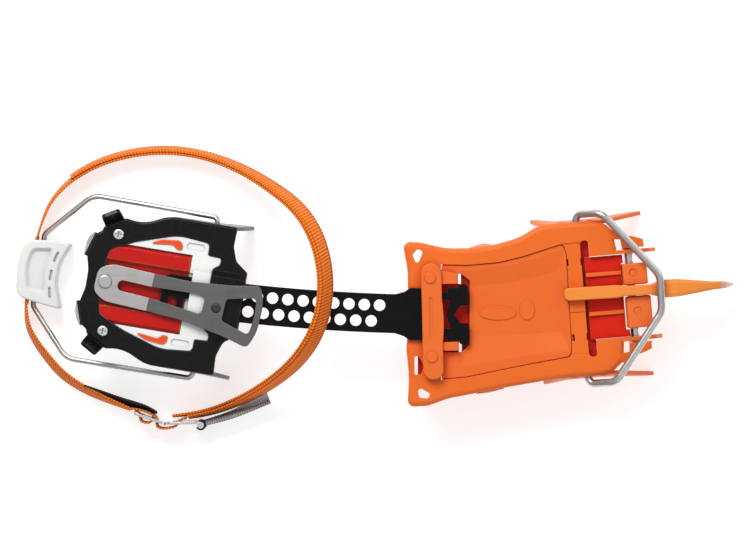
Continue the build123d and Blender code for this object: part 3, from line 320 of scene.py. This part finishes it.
LOOKS = {
    "toe_frame": orange_paint, "toe_bridge": bridge_paint, "bridge_rivets": bridge_paint,
    "toe_panel": orange_plastic, "toe_antisnow": toe_plate, "front_point": forged_paint(),
    "spacer_left": spacer_plastic, "spacer_right": spacer_plastic, "cross_bolt": screw_steel,
    "cross_nut": screw_steel, "toe_bail": wire_steel, "linking_bar": bar_paint, "heel_frame": black_paint,
    "heel_housing": white_plastic, "heel_antisnow": red_plate, "heel_inserts": leaf_plastic,
    "heel_screws": screw_steel, "heel_nuts": screw_steel, "latch_base": leaf_steel, "latch_leaf": arm_steel,
    "latch_rivet": leaf_steel, "latch_pin": pin_steel, "heel_bail": wire_steel, "heel_lever": lever_plastic,
    "buckle_frame": buckle_steel, "buckle_ring": buckle_steel,
}
for name, look in LOOKS.items():
    mesh = nodes[name].data
    mesh.materials.clear()
    mesh.materials.append(look.material)

# ---------------------------------------------------------------- strap
WIDTH = 15 * MM
THICK = 1.5 * MM
LAYER = THICK + 0.25 * MM    # middle of one layer to the middle of the next
SELVEDGE = 0.25 * MM         # how far the faces stop short of the rounded edge
ANKLE = [(-0.2221, 0.0423, 0.0105), (-0.2192, 0.0530, 0.0098), (-0.2125, 0.0675, 0.0088),
         (-0.1995, 0.0805, 0.0082), (-0.1805, 0.0910, 0.0080), (-0.1580, 0.0970, 0.0079),
         (-0.1340, 0.0986, 0.0079), (-0.1100, 0.0945, 0.0086), (-0.0880, 0.0860, 0.0180),
         (-0.0680, 0.0740, 0.0320), (-0.0500, 0.0600, 0.0460), (-0.0390, 0.0430, 0.0540),
         (-0.0335, 0.0240, 0.0572), (-0.0325, 0.0050, 0.0576), (-0.0360, -0.0140, 0.0570),
         (-0.0440, -0.0300, 0.0520), (-0.0560, -0.0440, 0.0400), (-0.0720, -0.0560, 0.0260),
         (-0.0890, -0.0655, 0.0140), (-0.1070, -0.0723, 0.0086), (-0.1230, -0.0753, 0.0086),
         (-0.1335, -0.0762, 0.0090)]
REAR = [(-0.2297, -0.0030, 0.0105), (-0.2299, -0.0135, 0.0098), (-0.2252, -0.0250, 0.0088),
        (-0.2170, -0.0365, 0.0082), (-0.2065, -0.0490, 0.0080), (-0.1920, -0.0586, 0.0080),
        (-0.1755, -0.0662, 0.0086), (-0.1614, -0.0716, 0.0092)]
LINER = [(-0.1916, -0.0566, 0.0084), (-0.1795, -0.0622, 0.0084), (-0.1670, -0.0670, 0.0086),
         (-0.1560, -0.0696, 0.0088), (-0.1490, -0.0714, 0.0090), (-0.1438, -0.0740, 0.0092)]
PULL_TAB = [(-0.1118, -0.0806, 0.0090), (-0.0990, -0.0772, 0.0086), (-0.0845, -0.0712, 0.0086),
            (-0.0700, -0.0644, 0.0086)]
LOOP_CENTRE = Vector((-0.135, 0.010, 0.0))   # the strap's top edge leans towards this side


def smooth_line(name, points):
    """Points along the NURBS spline that has these control points."""
    curve = bpy.data.curves.new(name, "CURVE")
    curve.dimensions = "3D"
    spline = curve.splines.new("NURBS")
    spline.points.add(len(points) - 1)
    for target, point in zip(spline.points, points):
        target.co = (*point, 1)
    spline.order_u = 3
    spline.use_endpoint_u = True
    curve.resolution_u = 24
    carrier = bpy.data.objects.new(name, curve)
    bpy.context.scene.collection.objects.link(carrier)
    bpy.context.view_layer.update()
    mesh = bpy.data.meshes.new_from_object(carrier)
    line = [v.co.copy() for v in mesh.vertices]
    bpy.data.objects.remove(carrier)
    bpy.data.meshes.remove(mesh)
    return line


def evenly(line, step):
    """The same line with points a step apart."""
    total = sum((b - a).length for a, b in zip(line, line[1:]))
    count = max(2, round(total / step))
    placed = [line[0].copy()]
    walked = 0.0
    for a, b in zip(line, line[1:]):
        span = (b - a).length
        while len(placed) < count and walked + span >= total * len(placed) / count:
            placed.append(a.lerp(b, (total * len(placed) / count - walked) / span))
        walked += span
    placed.append(line[-1].copy())
    return placed, total


def lean_frames(line, lean):
    """For each point the direction across the strap and the direction out through its outer face."""
    frames = []
    for i, point in enumerate(line):
        ahead = (line[min(i + 1, len(line) - 1)] - line[max(i - 1, 0)]).normalized()
        upright = (UP - ahead * ahead.z).normalized()
        inward = LOOP_CENTRE - point
        side = upright.cross(ahead).normalized()
        if side.dot(inward) < 0:
            side = -side
        tilt = radians(lean(i / (len(line) - 1), point))
        across = upright * cos(tilt) + side * sin(tilt)
        outward = upright * sin(tilt) - side * cos(tilt)
        frames.append((across, outward))
    return frames


def ribbon(name, line, lean, look, width=WIDTH, thick=THICK, shift=0.0, step=1.05 * MM, ribbed=0.10 * MM):
    """Flat webbing with rounded selvedges and raised ribs along a line, moved outward by shift."""
    line, total = evenly(line, step)
    frames = lean_frames(line, lean)
    half, thin = width / 2, thick / 2
    flat = half - SELVEDGE
    section = [(-flat, -thin), (-half * 0.5, -thin), (0, -thin), (half * 0.5, -thin), (flat, -thin),
               (half, -thin * 0.5), (half, thin * 0.5), (flat, thin), (half * 0.5, thin), (0, thin),
               (-half * 0.5, thin), (-flat, thin), (-half, thin * 0.5), (-half, -thin * 0.5)]
    mesh = bmesh.new()
    rings = []
    for i, (point, (across, outward)) in enumerate(zip(line, frames)):
        swell = ribbed if i % 2 else -ribbed
        ring = []
        for a, b in section:
            raised = b + (swell if b > 0 else -swell) * (abs(b) > 0.9 * thin)
            ring.append(mesh.verts.new(point + across * a + outward * (raised + shift)))
        rings.append(ring)
    uv = mesh.loops.layers.uv.new("UVMap")
    place = {}
    for i, ring in enumerate(rings):
        for vert, (a, b) in zip(ring, section):
            place[vert] = (total * i / (len(rings) - 1), a / width + 0.5)
    count = len(section)
    for first, second in zip(rings, rings[1:]):
        for k in range(count):
            mesh.faces.new((first[k], first[(k + 1) % count], second[(k + 1) % count], second[k]))
    mesh.faces.new(list(reversed(rings[0])))
    mesh.faces.new(rings[-1])
    for face in mesh.faces:
        face.smooth = True
        for loop in face.loops:
            loop[uv].uv = place[loop.vert]
    bmesh.ops.recalc_face_normals(mesh, faces=mesh.faces)
    data = bpy.data.meshes.new(name)
    mesh.to_mesh(data)
    mesh.free()
    data.materials.append(look.material)
    piece = bpy.data.objects.new(name, data)
    bpy.context.scene.collection.objects.link(piece)
    path = [point + outward * shift for point, (_, outward) in zip(line, frames)]
    return piece, path, total


ON_GROUND = 8.5 * MM         # height of the strap's middle where it stands on the ground
OVER_BAR = 45 * MM           # how much higher its middle is where it crosses the bar
END_LEAN = 4                 # degrees from upright, here and below
GROUND_LEAN = 9              # added along the ground
BAR_LEAN = 19                # added again over the bar
REAR_LEAN = 17               # added halfway along the rear strap


def upright_lean(share, point):
    """On edge all along, where the buckle holds it."""
    return 0


def climb_lean(point):
    """Degrees of lean that come with the strap's height."""
    climb = min(1.0, max(0.0, (point.z - ON_GROUND) / OVER_BAR))
    return GROUND_LEAN + BAR_LEAN * climb


def loop_lean(share, point):
    """The strap stands upright at both ends and leans most where it crosses the bar."""
    return END_LEAN + min(1.0, share / 0.12, (1 - share) / 0.10) * climb_lean(point)


def tail_lean(share, point):
    """The free layer lies on the loop, so it leans as the loop does there."""
    return END_LEAN + min(1.0, 0.75 + (1 - share) * 2, 0.4 + share * 5) * climb_lean(point)


def rear_lean(share, point):
    """Upright at the lever, leaning most halfway."""
    return END_LEAN + REAR_LEAN * sin(pi * min(1.0, 0.9 * share + 0.05))


def tab_lean(share, point):
    """The tab leans out more towards its free end."""
    return -6 - 16 * share


ankle_line = smooth_line("ankle_line", ANKLE)
ankle, ankle_path, ankle_length = ribbon("ankle_webbing", ankle_line, loop_lean, strap_look)


def nearest(line, place):
    """Which point of a line is nearest to a place."""
    return min(range(len(line)), key=lambda i: (line[i] - Vector(place)).length)


TAIL_END, TAIL_START = ANKLE[3], ANKLE[20]   # the free layer runs back along the loop between these
tail_line = list(reversed(ankle_line[nearest(ankle_line, TAIL_END):nearest(ankle_line, TAIL_START) + 1]))
tail, tail_path, tail_length = ribbon("tail_webbing", tail_line, tail_lean, strap_look, shift=LAYER)
rear_line = smooth_line("rear_line", REAR)
rear, rear_path, rear_length = ribbon("rear_webbing", rear_line, rear_lean, strap_look)
liner = ribbon("lining", smooth_line("liner_line", LINER), rear_lean, lining_look, thick=1.2 * MM)[0]
tab = ribbon("tab_webbing", smooth_line("tab_line", PULL_TAB), tab_lean, tab_look, thick=2.2 * MM)[0]


def around(centre, radius, first, last, height, count=9):
    """Points on an arc about an upright axis, from one angle in degrees to another."""
    turns = [radians(first + (last - first) * i / (count - 1)) for i in range(count)]
    return [Vector((centre[0] + radius * cos(t), centre[1] + radius * sin(t), height)) for t in turns]


# where the webbing goes through the buckle: in and out of the frame's slots, then through the ring
THROUGH = [(-0.1630, -0.0711, 0.0094), (-0.1572, -0.0713, 0.0096), (-0.1510, -0.0730, 0.0096),
           (-0.1462, -0.0751, 0.0096), (-0.1436, -0.0776, 0.0096), (-0.1437, -0.0806, 0.0096),
           (-0.1432, -0.0836, 0.0096), (-0.1392, -0.0845, 0.0096), (-0.1336, -0.0838, 0.0096),
           (-0.1300, -0.0822, 0.0096), (-0.1294, -0.0800, 0.0096), (-0.1282, -0.0783, 0.0096),
           (-0.1240, -0.0774, 0.0096)]
UNDER_BAR = [(-0.1580, -0.0728, 0.0096), (-0.1552, -0.0741, 0.0096), (-0.1545, -0.0768, 0.0096),
             (-0.1540, -0.0796, 0.0096), (-0.1508, -0.0806, 0.0096), (-0.1478, -0.0806, 0.0096),
             (-0.1467, -0.0786, 0.0096), (-0.1466, -0.0766, 0.0096)]
NARROW = 14.6 * MM           # the strap is squeezed a little in the slots
through = ribbon("buckle_webbing", smooth_line("through_line", THROUGH), upright_lean, strap_look,
                 width=NARROW, thick=1.3 * MM)[0]
under = ribbon("buckle_loop", smooth_line("under_line", UNDER_BAR), upright_lean, strap_look,
               width=NARROW, thick=1.2 * MM)[0]
CURL = (-0.1145, -0.0820)    # axis of the ring's curl, which the tab hangs on
CURL_LINE = around(CURL, 3.0 * MM, 118, -150, 0.0092)
tab_loop = ribbon("tab_loop", smooth_line("loop_line", CURL_LINE), upright_lean, loop_look,
                  width=15.5 * MM, thick=1.2 * MM)[0]

# ---------------------------------------------------------------- camera, light and floor
VIEW_MIDDLE = Vector((0.0, 0.0206, 0.030))
VIEW_WIDTH = 0.4902          # seen from side to side at the height of the middle
CAMERA_HEIGHT = 2.6
camera_data = bpy.data.cameras.new("camera")
SENSOR = 36
camera_data.sensor_width = SENSOR
camera_data.lens = SENSOR * (CAMERA_HEIGHT - VIEW_MIDDLE.z) / VIEW_WIDTH
camera_data.clip_end = 20
camera = bpy.data.objects.new("camera", camera_data)
camera.location = (VIEW_MIDDLE.x, VIEW_MIDDLE.y, CAMERA_HEIGHT)
bpy.context.scene.collection.objects.link(camera)
bpy.context.scene.camera = camera


def lamp(name, place, aim, size, power, colour=(1, 1, 1)):
    """Square softbox that points at a place."""
    data = bpy.data.lights.new(name, "AREA")
    data.shape = "SQUARE"
    data.size = size
    data.energy = power
    data.color = colour
    made = bpy.data.objects.new(name, data)
    made.location = place
    made.rotation_mode = "QUATERNION"
    made.rotation_quaternion = (Vector(aim) - Vector(place)).to_track_quat("-Z", "Y")
    bpy.context.scene.collection.objects.link(made)


MIDDLE = (0, 0.02, 0)
lamp("key", (-0.45, 0.95, 1.1), MIDDLE, 0.7, 17)
lamp("fill", (0.7, -0.9, 1.0), MIDDLE, 1.2, 3.2)
lamp("rim", (0.9, 0.6, 0.5), (0.1, 0, 0.03), 0.5, 1.6)


def sky():
    """Even white overhead that turns grey towards the horizon, for metal to reflect."""
    world = bpy.data.worlds.new("studio")
    bpy.context.scene.world = world
    world.use_nodes = True
    tree = world.node_tree
    background = tree.nodes["Background"]
    place = tree.nodes.new("ShaderNodeTexCoord")
    split = tree.nodes.new("ShaderNodeSeparateXYZ")
    ramp = tree.nodes.new("ShaderNodeValToRGB")
    ramp.color_ramp.elements[0].position = 0.05
    ramp.color_ramp.elements[0].color = (0.22, 0.22, 0.23, 1)
    ramp.color_ramp.elements[1].position = 0.75
    ramp.color_ramp.elements[1].color = (1, 1, 1, 1)
    tree.links.new(place.outputs["Generated"], split.inputs[0])
    tree.links.new(split.outputs["Z"], ramp.inputs["Fac"])
    tree.links.new(ramp.outputs["Color"], background.inputs["Color"])
    background.inputs["Strength"].default_value = 0.50


sky()
floor_mesh = bmesh.new()
bmesh.ops.create_grid(floor_mesh, x_segments=1, y_segments=1, size=3.0)
floor_data = bpy.data.meshes.new("floor")
floor_mesh.to_mesh(floor_data)
floor_mesh.free()
floor = bpy.data.objects.new("floor", floor_data)
bpy.context.scene.collection.objects.link(floor)
paper = Look("pale paper", (0.55, 0.55, 0.55), 0.9)
paper.tint(paper.ramp(paper.noise(6, 3), 0.3, 0.8, 0, 0.06), (0.50, 0.50, 0.50))
paper.surface.inputs["Emission Color"].default_value = (1, 1, 1, 1)
paper.surface.inputs["Emission Strength"].default_value = 0.66
floor_data.materials.append(paper.material)
bpy.context.scene.view_settings.view_transform = "Standard"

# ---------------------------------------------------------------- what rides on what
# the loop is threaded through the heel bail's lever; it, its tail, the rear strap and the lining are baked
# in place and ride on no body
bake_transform(ankle)
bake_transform(tail)
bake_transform(rear)
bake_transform(liner)
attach(through, "heel_unit")
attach(under, "heel_unit")
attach(tab, "pull_tab")
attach(tab_loop, "pull_tab")
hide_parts("ankle_strap")
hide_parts("strap_tail")
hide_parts("strap_rear")
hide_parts("strap_liner")
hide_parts("pull_tab")
nodes["strap_pass"].data.materials.clear()
nodes["strap_pass"].data.materials.append(strap_look.material)
